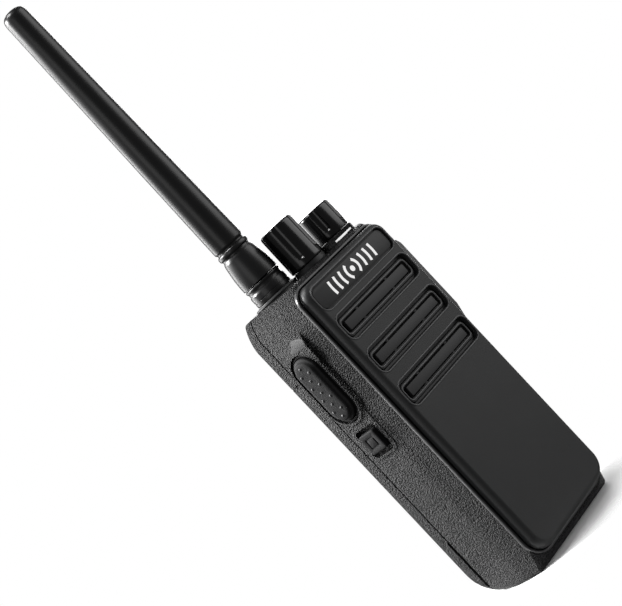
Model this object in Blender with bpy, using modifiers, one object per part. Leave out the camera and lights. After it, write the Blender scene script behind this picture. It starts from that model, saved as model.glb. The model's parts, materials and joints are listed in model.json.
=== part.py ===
"""Handheld two way radio: housing, front panel, controls, antenna, battery pack and belt clip.

All constants are millimetres in the radio's own axes: x across (0 on the body's middle plane),
depth from the front panel's face towards the back, and height above the base. Every piece is
parented to one empty, which sets those axes down so that the origin of the world is the middle of
the bounding box's underside. +Z is up along the antenna and the front faces -Y.
"""

import math

import bmesh
import bpy
from mathutils import Matrix, Vector

MM = 0.001
GAP = 0.3

# Body
BODY_HALF_WIDTH = 25.4
BODY_DEPTH = 38.4
DECK_FRONT_HEIGHT = 121.4
DECK_BACK_HEIGHT = 122.4
WALL = 1.8
RIM_DEPTH = 4.0
SIDE_START_DEPTH = 7.1
PACK_DEPTH = 30.0
PACK_HEIGHT = 96.0
BACK_EDGE_RADIUS = 5.0
BACK_BOTTOM_RADIUS = 10.0
BACK_TOP_RADIUS = 6.0

# Front panel
PANEL_HALF_WIDTH = 23.4
PANEL_BOTTOM = 4.5
PANEL_TOP = 118.8
PANEL_BACK = RIM_DEPTH - GAP
PANEL_WALL = 1.7
PLATE_CENTRE = 112.3
PLATE_WIDTH = 42.5
PLATE_HEIGHT = 8.8
SLOT_CENTRES = (100.2, 85.8, 71.4)
SLOT_WIDTH = 42.4
SLOT_HEIGHT = 9.3
SLOT_MOUTH_WIDTH = 38.8
SLOT_MOUTH_HEIGHT = 4.8
BAR_WIDTH = 35.8
BAR_HEIGHT = 3.4

# Controls on the top deck
KNOB_DEPTH = 13.0
VOLUME_X = -1.4
CHANNEL_X = 15.4
KNOB_RADIUS = 6.7
KNOB_FLUTES = 5
VOLUME_BASE = 123.6
VOLUME_TOP = 139.9
CHANNEL_BASE = 124.3
CHANNEL_TOP = 135.3
PLINTH_LOW = (3.2, 6.5)
PLINTH_HIGH = (20.3, 20.0)
PLINTH_TOP = 123.9
LIGHT_CENTRE_X = 12.9
LIGHT_WIDTH = 9.6
LIGHT_BOTTOM = 121.7
LIGHT_HEIGHT = 0.9

# Antenna
ANTENNA_X = -13.5
ANTENNA_DEPTH = 21.8
ANTENNA_SEAT_TOP = 122.1
ANTENNA_TOP = 249.9

# Keys on the left side
KEY_DEPTH = 21.6
TALK_CENTRE = 89.8
TALK_WIDTH = 11.2
TALK_HEIGHT = 26.0
TALK_PROUD = 2.6
TALK_TRAVEL = 1.2
MONITOR_CENTRE = 66.5
MONITOR_PROUD = 1.4
MONITOR_TRAVEL = 0.8

# Accessory sockets on the right side
COVER_BOTTOM = 71.4
COVER_TOP = 109.2
COVER_FRONT = 5.6
COVER_BACK = 16.4
COVER_PROUD = 3.8
COVER_HINGE_X = 27.6
COVER_HINGE_DEPTH = 17.0
SOCKET_HEIGHTS = (98.0, 86.0)
SOCKET_DEPTH = 11.6

# Battery pack and belt clip
PACK_WALL = 1.4
PACK_PIVOT_DEPTH = 30.8
PACK_PIVOT_HEIGHT = 0.6
CLIP_PIVOT_DEPTH = 42.2
CLIP_PIVOT_HEIGHT = 82.0
CLIP_HALF_WIDTH = 9.5
CLIP_SCREW_X = 5.2
CLIP_SCREW_HEIGHT = 75.4
CONTACTS_X = (-6.0, 0.0, 6.0)
CLIP_BACK = 46.4
CLIP_LEAF = 2.0

# The bounding box runs from the talk key to the socket cover and from the panel to the clip
FRAME_X = -0.5 * (COVER_PROUD - TALK_PROUD)
FRAME_Y = -0.5 * CLIP_BACK

PARTS = bpy.data.collections.new("two_way_radio")
CUTTERS = bpy.data.collections.new("cutters")


def make_material(name, colour, roughness, metallic=0.0, alpha=1.0):
    material = bpy.data.materials.new(name)
    material.use_nodes = True
    shader = material.node_tree.nodes["Principled BSDF"]
    shader.inputs["Base Color"].default_value = (*colour, 1.0)
    shader.inputs["Roughness"].default_value = roughness
    shader.inputs["Metallic"].default_value = metallic
    shader.inputs["Alpha"].default_value = alpha
    material.diffuse_color = (*colour, 1.0)
    return material


def clear_scene():
    for old in list(bpy.data.objects):
        bpy.data.objects.remove(old, do_unlink=True)


# ---------------------------------------------------------------- building blocks


def place(name, mesh, material, collection=None):
    """Put a mesh, given in the radio's axes, in the scene under the frame empty."""
    item = bpy.data.objects.new(name, mesh)
    (collection or PARTS).objects.link(item)
    item.parent = FRAME
    if material:
        item.data.materials.append(material)
    return item


def set_origin(item, x, depth, height):
    """Move an object's origin to a joint's axis and leave its shape where it is."""
    point = Vector((x, depth, height)) * MM
    item.data.transform(Matrix.Translation(-point))
    item.location = point
    return item


def finish_mesh(bm, name, smooth=False):
    bmesh.ops.recalc_face_normals(bm, faces=bm.faces)
    mesh = bpy.data.meshes.new(name)
    bm.to_mesh(mesh)
    bm.free()
    if smooth:
        mesh.shade_smooth()
        mesh.set_sharp_from_angle(angle=math.radians(35))
    return mesh


def loft(name, rings, material, collection=None):
    """A closed solid through rings of equally many points, capped at both ends."""
    bm = bmesh.new()
    loops = [[bm.verts.new(Vector(point) * MM) for point in ring] for ring in rings]
    count = len(rings[0])
    for first, second in zip(loops, loops[1:]):
        for i in range(count):
            j = (i + 1) % count
            bm.faces.new((first[i], first[j], second[j], second[i]))
    bm.faces.new(loops[0])
    bm.faces.new(loops[-1])
    return place(name, finish_mesh(bm, name, smooth=True), material, collection)


def rounded(width, height, radius, centre=(0.0, 0.0), steps=4):
    """Corner points of a rounded rectangle, anticlockwise."""
    u, v = width / 2 - radius, height / 2 - radius
    points = []
    for quarter, (su, sv) in enumerate(((1, 1), (-1, 1), (-1, -1), (1, -1))):
        for step in range(steps + 1):
            angle = math.radians(90 * (quarter + step / steps))
            across = centre[0] + su * u + radius * math.cos(angle)
            along = centre[1] + sv * v + radius * math.sin(angle)
            points.append((across, along))
    return points


def circle(radius, centre=(0.0, 0.0), steps=32):
    angles = [2 * math.pi * i / steps for i in range(steps)]
    return [(centre[0] + radius * math.cos(a), centre[1] + radius * math.sin(a)) for a in angles]


PLANES = {
    "Z": Matrix(((1, 0, 0), (0, 1, 0), (0, 0, 1))),
    "Y": Matrix(((1, 0, 0), (0, 0, -1), (0, 1, 0))),
    "X": Matrix(((0, 0, 1), (1, 0, 0), (0, 1, 0))),
}


def slab(name, outline, axis, low, high, material, collection=None):
    """A flat outline extruded along one axis, from low to high.

    The outline is (x, depth) for Z, (x, height) for Y and (depth, height) for X.
    """
    curve = bpy.data.curves.new(name, "CURVE")
    curve.dimensions = "2D"
    curve.fill_mode = "BOTH"
    curve.extrude = abs(high - low) / 2 * MM
    spline = curve.splines.new("POLY")
    spline.points.add(len(outline) - 1)
    for point, (across, along) in zip(spline.points, outline):
        point.co = (across * MM, along * MM, 0.0, 1.0)
    spline.use_cyclic_u = True
    drawn = bpy.data.objects.new(name + "_outline", curve)
    bpy.context.scene.collection.objects.link(drawn)
    bpy.context.view_layer.update()
    evaluated = drawn.evaluated_get(bpy.context.evaluated_depsgraph_get())
    mesh = bpy.data.meshes.new_from_object(evaluated)
    bpy.data.objects.remove(drawn, do_unlink=True)
    bpy.data.curves.remove(curve)
    turn = PLANES[axis].to_4x4()
    sign = -1 if axis == "Y" else 1
    middle = (low + high) / 2 * MM * sign
    mesh.transform(turn @ Matrix.Translation((0, 0, middle)))
    bm = bmesh.new()
    bm.from_mesh(mesh)
    bpy.data.meshes.remove(mesh)
    bmesh.ops.remove_doubles(bm, verts=bm.verts, dist=1e-6)
    return place(name, finish_mesh(bm, name), material, collection)


def box(name, low, high, material, bevel=0.0, collection=None):
    """A block between two corners (x, depth, height), with optional rounded edges."""
    bm = bmesh.new()
    bmesh.ops.create_cube(bm, size=1.0)
    size = Vector(high) - Vector(low)
    middle = (Vector(high) + Vector(low)) / 2
    for vert in bm.verts:
        vert.co = Vector(a * b for a, b in zip(vert.co, size)) * MM + middle * MM
    item = place(name, finish_mesh(bm, name), material, collection)
    if bevel:
        rounding = item.modifiers.new("rounded_edges", "BEVEL")
        rounding.width = bevel * MM
        rounding.segments = 2
    return item


AXIS_TURNS = {
    "Z": Matrix.Identity(4),
    "Y": Matrix.Rotation(math.radians(90), 4, "X"),
    "X": Matrix.Rotation(math.radians(90), 4, "Y"),
}


def turned(name, profile, centre, material, axis="Z", steps=32, ring=False, collection=None):
    """A piece turned about an axis through centre.

    The profile is (radius, distance along the axis), and runs down its outer side. Along Y the
    distance counts towards the front, and along X towards the right.
    """
    mesh = bpy.data.meshes.new(name)
    points = [(radius * MM, 0.0, along * MM) for radius, along in profile]
    edges = [(i, i + 1) for i in range(len(points) - 1)]
    if ring:
        edges.append((len(points) - 1, 0))
    mesh.from_pydata(points, edges, [])
    item = place(name, mesh, material, collection)
    screw = item.modifiers.new("turned", "SCREW")
    screw.axis = "Z"
    screw.angle = 2 * math.pi
    screw.steps = steps
    screw.render_steps = steps
    screw.use_merge_vertices = True
    screw.merge_threshold = 1e-6
    screw.use_smooth_shade = True
    item.matrix_local = Matrix.Translation(Vector(centre) * MM) @ AXIS_TURNS[axis]
    return item


def hide_helper(item):
    if item.name in PARTS.objects:
        PARTS.objects.unlink(item)
        CUTTERS.objects.link(item)
    item.hide_render = True
    item.display_type = "WIRE"


def combine(target, helper, operation):
    hide_helper(helper)
    step = target.modifiers.new(operation.lower(), "BOOLEAN")
    step.operation = operation
    step.solver = "EXACT"
    step.object = helper


def cut(target, *cutters):
    for cutter in cutters:
        combine(target, cutter, "DIFFERENCE")


def add(target, *pieces):
    for piece in pieces:
        combine(target, piece, "UNION")


# ---------------------------------------------------------------- the body's outer form


def ease(value, low, high):
    return min(max((value - low) / (high - low), 0.0), 1.0)


def body_half_width(depth):
    front = 0.6 * (1 - ease(depth, RIM_DEPTH, SIDE_START_DEPTH)) ** 2
    behind = max(depth - (BODY_DEPTH - BACK_EDGE_RADIUS), 0.0)
    back = BACK_EDGE_RADIUS - math.sqrt(BACK_EDGE_RADIUS**2 - behind**2)
    return BODY_HALF_WIDTH - front - back


def body_bottom(depth):
    front = 2.0 * (1 - ease(depth, RIM_DEPTH, SIDE_START_DEPTH))
    behind = max(depth - (BODY_DEPTH - BACK_BOTTOM_RADIUS), 0.0)
    return front + BACK_BOTTOM_RADIUS - math.sqrt(BACK_BOTTOM_RADIUS**2 - behind**2)


def body_top(depth):
    rim = 1.6 * (1 - ease(depth, RIM_DEPTH, SIDE_START_DEPTH)) ** 2
    slope = DECK_BACK_HEIGHT - DECK_FRONT_HEIGHT
    level = DECK_FRONT_HEIGHT + slope * ease(depth, SIDE_START_DEPTH, PACK_DEPTH)
    behind = max(depth - (BODY_DEPTH - BACK_TOP_RADIUS), 0.0)
    return level - rim - BACK_TOP_RADIUS + math.sqrt(BACK_TOP_RADIUS**2 - behind**2)


def body_bottom_radius(depth):
    at_rim = 7.0 * (1 - ease(depth, RIM_DEPTH, SIDE_START_DEPTH))
    towards_back = 3.5 * ease(depth, 20.0, PACK_DEPTH) + 3.5 * ease(depth, PACK_DEPTH, BODY_DEPTH)
    return 1.5 + at_rim + towards_back


def shell_ring(depth, low=None, high=None, inset=0.0, steps=4):
    """One section of the body at a depth. low and high cut it off square below or above."""
    half = body_half_width(depth) - inset
    bottom = body_bottom(depth) + inset if low is None else low
    top = body_top(depth) - inset if high is None else high
    radius = max(body_bottom_radius(depth) - inset, 0.6) if low is None else 0.6
    shoulder_in, shoulder_drop = (3.2, 8.0) if high is None else (0.6, 0.6)
    side = []
    for step in range(steps + 1):
        angle = math.radians(-90 + 90 * step / steps)
        side.append((half - radius + radius * math.cos(angle), bottom + radius + radius * math.sin(angle)))
    for step in range(steps + 1):
        along = step / steps
        bulge = 0.6 * 4 * along * (1 - along) if high is None else 0.0
        side.append((half - shoulder_in * along + bulge, top - shoulder_drop * (1 - along)))
    other = [(-x, z) for x, z in reversed(side)]
    return [(x, depth, z) for x, z in side + other]


def panel_ring(depth, inset, low=PANEL_BOTTOM, high=PANEL_TOP, steps=5):
    """One section of the front panel: wide rounds at the foot and tighter ones at the head."""
    half = PANEL_HALF_WIDTH - inset
    foot, head = 7.0 - inset, 4.5 - inset
    points = []
    corners = ((half, low + inset, foot, -90), (half, high - inset, head, 0))
    for x, z, radius, start in corners:
        centre_z = z + radius if start < 0 else z - radius
        for step in range(steps + 1):
            angle = math.radians(start + 90 * step / steps)
            points.append((x - radius + radius * math.cos(angle), centre_z + radius * math.sin(angle)))
    other = [(-x, z) for x, z in reversed(points)]
    return [(x, depth, z) for x, z in points + other]


# ---------------------------------------------------------------- housing and panel


def build_housing():
    depths = (RIM_DEPTH, 5.0, 6.0, SIDE_START_DEPTH, 20.0, 25.0, PACK_DEPTH)
    housing = loft("main_housing", [shell_ring(d) for d in depths], GRAINED)
    inner_depths = (5.8, 8.0, PACK_DEPTH + 2)
    cavity = loft("housing_cavity", [shell_ring(d, inset=WALL) for d in inner_depths], None, CUTTERS)
    plinth_size = [high - low for low, high in zip(PLINTH_LOW, PLINTH_HIGH)]
    plinth_centre = [(high + low) / 2 for low, high in zip(PLINTH_LOW, PLINTH_HIGH)]
    plinth_outline = rounded(*plinth_size, 2.4, plinth_centre)
    add(housing, slab("plinth", plinth_outline, "Z", 119.9, PLINTH_TOP, None))
    seat = circle(8.4, (ANTENNA_X, ANTENNA_DEPTH), 40)
    add(housing, slab("antenna_seat", seat, "Z", 119.9, ANTENNA_SEAT_TOP, None))
    scallop = circle(KNOB_RADIUS + 0.4, (VOLUME_X, KNOB_DEPTH), 40)
    cut(housing, slab("volume_scallop", scallop, "Z", 122.0, 126.0, None))
    cut(housing, cavity)
    cut(housing, slab("speaker_hole", circle(17.4, (0, 85.8), 24), "Y", 3.0, 7.0, None))
    cut(housing, slab("microphone_hole", circle(0.8, (0, 56.0), 8), "Y", 3.0, 7.0, None))
    for label, x, depth, radius in (
        ("antenna_hole", ANTENNA_X, ANTENNA_DEPTH, 4.3),
        ("volume_hole", VOLUME_X, KNOB_DEPTH, 3.8),
        ("channel_hole", CHANNEL_X, KNOB_DEPTH, 3.8),
    ):
        cut(housing, slab(label, circle(radius, (x, depth), 24), "Z", 116.0, 126.0, None))
    light_low = (LIGHT_CENTRE_X - LIGHT_WIDTH / 2, 5.0, LIGHT_BOTTOM)
    light_high = (LIGHT_CENTRE_X + LIGHT_WIDTH / 2, 8.0, LIGHT_BOTTOM + LIGHT_HEIGHT)
    cut(housing, box("light_slot", light_low, light_high, None))
    cut(housing, box("light_shaft", (10.3, 6.6, 116.0), (15.5, 8.0, LIGHT_BOTTOM + 0.4), None))
    side = BODY_HALF_WIDTH
    talk_outline = rounded(14.2, 28.8, 7.0, (KEY_DEPTH, TALK_CENTRE), 6)
    cut(housing, slab("talk_hole", talk_outline, "X", -side - 2, -side + 4, None))
    well_outline = rounded(11.0, 11.0, 1.6, (KEY_DEPTH, MONITOR_CENTRE), 3)
    cut(housing, slab("monitor_well", well_outline, "X", -side - 2, -side + 0.9, None))
    monitor_outline = rounded(9.1, 8.3, 1.0, (KEY_DEPTH, MONITOR_CENTRE), 3)
    cut(housing, slab("monitor_hole", monitor_outline, "X", -side - 2, -side + 4, None))
    for number, height in enumerate(SOCKET_HEIGHTS, 1):
        hole = circle(2.4, (SOCKET_DEPTH, height), 16)
        cut(housing, slab(f"socket_hole_{number}", hole, "X", side - 4, side + 2, None))
    return housing


def build_front_panel():
    steps = ((PANEL_BACK, 0.0), (2.2, 0.1), (1.2, 0.45), (0.5, 1.1), (0.1, 1.8), (0.0, 2.3))
    panel = loft("front_panel", [panel_ring(depth, inset) for depth, inset in steps], SATIN_BLACK)
    hollow = [panel_ring(depth, 1.7) for depth in (PANEL_WALL, PANEL_BACK + 1)]
    cut(panel, loft("panel_hollow", hollow, None, CUTTERS))
    plate = rounded(PLATE_WIDTH, PLATE_HEIGHT, 2.8, (0, PLATE_CENTRE))
    cut(panel, slab("plate_recess", plate, "Y", -1.0, 1.1, None))
    for number, height in enumerate(SLOT_CENTRES, 1):
        dish = rounded(SLOT_WIDTH, SLOT_HEIGHT, 2.6, (0, height))
        mouth = rounded(SLOT_MOUTH_WIDTH, SLOT_MOUTH_HEIGHT, 1.2, (0, height), 3)
        cut(panel, slab(f"slot_dish_{number}", dish, "Y", -1.0, 0.9, None))
        cut(panel, slab(f"slot_mouth_{number}", mouth, "Y", -1.0, 3.0, None))
    return panel


def build_front_inserts():
    inlay = rounded(PLATE_WIDTH - 2 * GAP, PLATE_HEIGHT - 2 * GAP, 2.5, (0, PLATE_CENTRE))
    slab("name_plate", inlay, "Y", 0.4, 0.8, GLOSS_BLACK)
    backing = rounded(42.6, 44.6, 2.0, (0, SLOT_CENTRES[1]))
    grille = slab("grille_insert", backing, "Y", 2.0, 2.8, LOUVRE_GREY)
    for number, height in enumerate(SLOT_CENTRES, 1):
        window = rounded(38.2, 4.6, 1.0, (0, height), 2)
        cut(grille, slab(f"window_{number}", window, "Y", 1.0, 4.0, None))
    for label, x in (("left", -9.0), ("right", 9.0)):
        add(grille, box(f"grille_rib_{label}", (x - 0.6, 2.1, 66.0), (x + 0.6, 2.7, 106.0), None))
    for number, height in enumerate(SLOT_CENTRES, 1):
        bar = rounded(BAR_WIDTH, BAR_HEIGHT, 0.4, (0, height), 2)
        add(grille, slab(f"bar_{number}", bar, "Y", 0.9, 2.6, None))
    slab("grille_cloth", rounded(40.0, 42.0, 2.0, (0, SLOT_CENTRES[1])), "Y", 3.1, 3.4, CLOTH_BLACK)


# ---------------------------------------------------------------- inside the housing


def build_speaker():
    centre = (0, 7.0, SLOT_CENTRES[1])
    frame = [(18.6, 0.9), (18.6, -0.6), (12.0, -4.0), (8.6, -4.0), (8.6, -3.2), (11.4, -3.2), (17.0, 0.2),
             (17.0, 0.9)]
    turned("speaker_frame", frame, centre, TIN, "Y", ring=True)
    cone = [(0, -1.2), (7.6, -1.9), (15.6, 0.6), (16.6, 0.6), (16.6, 0.2), (15.8, 0.2), (7.8, -2.5),
            (0, -1.8)]
    turned("speaker_cone", cone, centre, CLOTH_BLACK, "Y")
    turned("speaker_magnet", [(0, -4.3), (8.2, -4.3), (8.2, -7.6), (0, -7.6)], centre, TIN, "Y")


def build_boards():
    microphone = [(0, 0.9), (2.8, 0.9), (2.8, -1.4), (0, -1.4)]
    turned("microphone", microphone, (0, 7.2, 56.0), TIN, "Y", steps=16)
    board = slab("main_board", rounded(41.0, 92.0, 1.0, (0, 58.0), 2), "Y", 15.2, 16.4, BOARD_GREEN)
    for number, height in enumerate((16.0, 100.0), 1):
        cut(board, slab(f"board_hole_{number}", circle(1.4, (17.0, height), 12), "Y", 14.0, 18.0, None))
    box("shield_can", (-14.0, 16.7, 34.0), (14.0, 20.2, 66.0), TIN, 0.5)
    box("control_board", (-8.6, 7.0, 105.6), (22.0, 17.6, 106.8), BOARD_GREEN)
    box("side_board", (-18.3, 17.2, 61.0), (-17.1, 26.0, 103.0), BOARD_GREEN)


def hexagon_nut(name, x, depth, bottom, material):
    nut = slab(name, circle(4.6, (x, depth), 6), "Z", bottom, bottom + 1.0, material)
    cut(nut, slab(name + "_bore", circle(3.6, (x, depth), 24), "Z", bottom - 1, bottom + 3, None))
    return nut


def build_rotary_switch(label, x, deck_underside, nut_height, shaft_top):
    """A panel switch or potentiometer: block, threaded bush, hexagon nut and turning shaft."""
    low = (x - 4.6, KNOB_DEPTH - 4.6, 107.1)
    high = (x + 4.6, KNOB_DEPTH + 4.6, deck_underside)
    body = box(f"{label}_switch", low, high, SWITCH_GREY, 0.4)
    bush = [(0, nut_height + 1.2), (3.3, nut_height + 1.2), (3.3, deck_underside - 1), (0, deck_underside - 1)]
    add(body, turned(f"{label}_bush", bush, (x, KNOB_DEPTH, 0), None, steps=24))
    bore = [(0, shaft_top), (2.3, shaft_top), (2.3, 112.0), (0, 112.0)]
    cut(body, turned(f"{label}_bush_bore", bore, (x, KNOB_DEPTH, 0), None, steps=24))
    hexagon_nut(f"{label}_nut", x, KNOB_DEPTH, nut_height, STEEL)
    shaft = [(0, shaft_top), (2.0, shaft_top), (2.0, 112.4), (0, 112.4)]
    turned(f"{label}_shaft", shaft, (x, KNOB_DEPTH, 0), STEEL, steps=24)


def build_knob(label, x, bottom, top, socket_top):
    """A turned cap with finger flutes that stop above a plain skirt."""
    radius = KNOB_RADIUS
    profile = [(0, top), (radius - 1.4, top - 0.1), (radius - 0.5, top - 0.5), (radius - 0.2, top - 1.2),
               (radius, bottom + 1.2), (radius, bottom + 0.3), (radius - 0.3, bottom), (4.9, bottom),
               (4.9, bottom + 1.6), (2.3, bottom + 1.6), (2.3, socket_top), (0, socket_top)]
    knob = turned(f"{label}_knob", profile, (x, KNOB_DEPTH, 0), KNOB_BLACK, steps=48)
    for number in range(KNOB_FLUTES):
        angle = 2 * math.pi * number / KNOB_FLUTES - math.radians(135)
        centre = (x + (radius + 1.1) * math.cos(angle), KNOB_DEPTH + (radius + 1.1) * math.sin(angle))
        flute = slab(f"{label}_flute_{number}", circle(1.9, centre, 16), "Z", bottom + 2.2, top + 2, None)
        cut(knob, flute)
    return knob


def build_top_controls():
    build_rotary_switch("volume", VOLUME_X, 119.2, 121.9, 135.0)
    build_rotary_switch("channel", CHANNEL_X, 119.2, 124.2, 131.5)
    build_knob("volume", VOLUME_X, VOLUME_BASE, VOLUME_TOP, 135.4)
    build_knob("channel", CHANNEL_X, CHANNEL_BASE, CHANNEL_TOP, 131.9)
    collar = [(4.6, 124.2), (4.6, 123.3), (5.8, 123.3), (6.0, 123.1), (6.0, 122.3), (5.0, 122.3),
              (5.0, 123.2), (3.6, 123.2), (3.6, 124.2)]
    turned("volume_collar", collar, (VOLUME_X, KNOB_DEPTH, 0), SATIN_BLACK, ring=True)
    half = LIGHT_WIDTH / 2 - 0.2
    pipe_low = (LIGHT_CENTRE_X - half, PLINTH_LOW[1] + 0.1, LIGHT_BOTTOM + 0.15)
    pipe_high = (LIGHT_CENTRE_X + half, 7.7, LIGHT_BOTTOM + LIGHT_HEIGHT - 0.15)
    pipe = box("status_light_pipe", pipe_low, pipe_high, LIGHT_WHITE)
    add(pipe, box("light_pipe_leg", (10.6, 6.9, 110.6), (15.2, 7.6, LIGHT_BOTTOM + 0.4), None))
    box("status_led", (11.8, 7.1, 107.1), (14.0, 8.1, 110.2), LIGHT_WHITE)


# ---------------------------------------------------------------- antenna


def build_antenna():
    centre = (ANTENNA_X, ANTENNA_DEPTH, 0)
    socket = [(0, 126.4), (3.1, 126.4), (3.1, 120.6), (3.9, 120.6), (3.9, 119.2), (5.2, 119.2), (5.2, 116.4),
              (2.2, 116.4), (2.2, 110.0), (0, 110.0)]
    turned("antenna_socket", socket, centre, BRASS, steps=24)
    flange = [(6.3, 123.9), (6.3, 123.2), (8.2, 123.2), (8.6, 122.9), (8.6, 122.4), (5.2, 122.4), (5.2, 123.9)]
    turned("antenna_flange", flange, centre, SATIN_BLACK, steps=40, ring=True)
    base = [(0, 136.0), (3.0, 136.0), (3.0, 129.9), (6.9, 129.9), (7.2, 129.6), (7.2, 129.2), (6.8, 128.6),
            (6.8, 127.8), (7.2, 127.2), (7.2, 123.5), (6.6, 123.5), (6.6, 124.2), (3.5, 124.2), (3.5, 126.8),
            (0, 126.8)]
    turned("antenna_base", base, centre, GLOSS_BLACK, steps=40)
    top = ANTENNA_TOP
    sheath = [(0, top), (2.6, top - 0.2), (4.0, top - 0.9), (4.5, top - 2.2), (4.7, 236.0), (5.85, 153.0),
              (6.0, 145.4), (5.5, 144.6), (5.5, 143.8), (6.15, 143.2), (6.15, 142.0), (5.6, 141.4),
              (5.6, 140.8), (6.35, 139.0), (6.7, 136.6), (7.05, 134.2), (7.2, 131.0), (7.2, 130.2),
              (3.4, 130.2), (3.4, 137.0), (2.6, 137.0), (2.6, 232.0), (0, 232.8)]
    turned("antenna_sheath", sheath, centre, RUBBER_BLACK, steps=40)
    core = [(0, 230.0), (2.2, 229.0), (2.2, 137.4), (0, 137.4)]
    turned("antenna_core", core, centre, BRASS, steps=16)


# ---------------------------------------------------------------- side keys and sockets


def key_outline(width, height, radius, centre_height, steps=6):
    return rounded(width, height, radius, (KEY_DEPTH, centre_height), steps)


def build_side_keys():
    side = BODY_HALF_WIDTH
    ring = key_outline(13.8, 28.2, 6.8, TALK_CENTRE)
    surround = slab("talk_surround", ring, "X", -side - 0.1, -side + WALL, RUBBER_BLACK)
    bore = key_outline(TALK_WIDTH + 0.6, TALK_HEIGHT + 0.6, 5.8, TALK_CENTRE)
    cut(surround, slab("surround_bore", bore, "X", -side - 2, -side + 4, None))
    pad = key_outline(TALK_WIDTH, TALK_HEIGHT, 5.5, TALK_CENTRE)
    talk = slab("talk_key", pad, "X", -side - TALK_PROUD, -side + 2.3, RUBBER_BLACK)
    flange = key_outline(12.8, 27.6, 6.3, TALK_CENTRE)
    add(talk, slab("talk_key_flange", flange, "X", -side + 2.1, -side + 2.9, None))
    cap = key_outline(8.5, 7.7, 0.8, MONITOR_CENTRE, 3)
    monitor = slab("monitor_key", cap, "X", -side - MONITOR_PROUD, -side + 2.3, SATIN_BLACK)
    stop = key_outline(10.4, 9.6, 0.8, MONITOR_CENTRE, 3)
    add(monitor, slab("monitor_key_flange", stop, "X", -side + 2.1, -side + 2.9, None))
    for label, height, travel in (
        ("talk", TALK_CENTRE, TALK_TRAVEL),
        ("monitor", MONITOR_CENTRE, MONITOR_TRAVEL),
    ):
        low = (-20.2, KEY_DEPTH - 3, height - 3)
        high = (-18.6, KEY_DEPTH + 3, height + 3)
        body = box(f"{label}_switch", low, high, SWITCH_GREY)
        tip = -side + 2.9 + travel + GAP
        plunger = slab(f"{label}_plunger", circle(1.6, (KEY_DEPTH, height), 16), "X", tip, -19.4, None)
        add(body, plunger)


def build_socket_cover():
    side = BODY_HALF_WIDTH
    inner, outer = side + GAP, side + COVER_PROUD
    outline = [(inner, COVER_BOTTOM), (26.4, COVER_BOTTOM), (27.6, 73.0), (outer, 78.8), (outer, 106.8),
               (28.3, 108.7), (27.0, COVER_TOP), (inner, COVER_TOP)]
    cover = slab("socket_cover", outline, "Y", COVER_FRONT, COVER_BACK, RUBBER_BLACK)
    rounding = cover.modifiers.new("rounded_edges", "BEVEL")
    rounding.width = 0.8 * MM
    rounding.segments = 2
    rounding.limit_method = "ANGLE"
    rounding.angle_limit = math.radians(50)
    tongue_low = (26.2, COVER_BACK - 1.0, 86.0)
    tongue_high = (27.2, COVER_HINGE_DEPTH + 0.6, 96.0)
    add(cover, box("cover_tongue", tongue_low, tongue_high, None))
    set_origin(cover, COVER_HINGE_X, COVER_HINGE_DEPTH, 0)
    anchor_low = (inner, COVER_HINGE_DEPTH + 1.9, 85.0)
    anchor_high = (inner + 1.5, COVER_HINGE_DEPTH + 7.4, 97.0)
    anchor = box("cover_anchor", anchor_low, anchor_high, RUBBER_BLACK, 0.4)
    anchor_depth = COVER_HINGE_DEPTH + 4.6
    hole = circle(1.3, (anchor_depth, 91.0), 16)
    cut(anchor, slab("anchor_hole", hole, "X", side - 1, side + 3, None))
    screw = [(0, 1.1), (1.5, 0.9), (2.0, 0.3), (2.0, 0), (1.0, 0), (1.0, -3.6), (0, -3.6)]
    turned("cover_screw", screw, (inner + 1.8, anchor_depth, 91.0), STEEL, "X", steps=16)
    cut(bpy.data.objects["main_housing"], slab("screw_hole", hole, "X", side - 4, side + 1, None))
    block_low = (19.0, SOCKET_DEPTH - 4.3, 80.0)
    block_high = (side - WALL - GAP, 14.8, 104.0)
    block = box("socket_block", block_low, block_high, SWITCH_GREY)
    for number, (height, radius) in enumerate(zip(SOCKET_HEIGHTS, (1.8, 1.3)), 1):
        bore = circle(radius, (SOCKET_DEPTH, height), 16)
        cut(block, slab(f"socket_bore_{number}", bore, "X", 20.2, side, None))


# ---------------------------------------------------------------- back of the radio


def build_back():
    sheet = rounded(45.2, 112.0, 2.5, (0, 58.8), 3)
    chassis = slab("rear_chassis", sheet, "Y", 28.3, 29.7, CAST_GREY)
    add(chassis, box("heat_spreader", (-6.0, 20.6, 36.0), (14.0, 28.5, 62.0), None))
    cut(chassis, box("contact_window", (-9.4, 27.0, 82.0), (9.4, 31.0, 88.6), None))
    block = box("contact_block", (-9.0, 26.5, 82.4), (9.0, 29.7, 88.2), SWITCH_GREY)
    for number, x in enumerate(CONTACTS_X, 1):
        add(block, slab(f"contact_pin_{number}", circle(0.9, (x, 85.3), 12), "Y", 29.0, 30.2, None))


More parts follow.
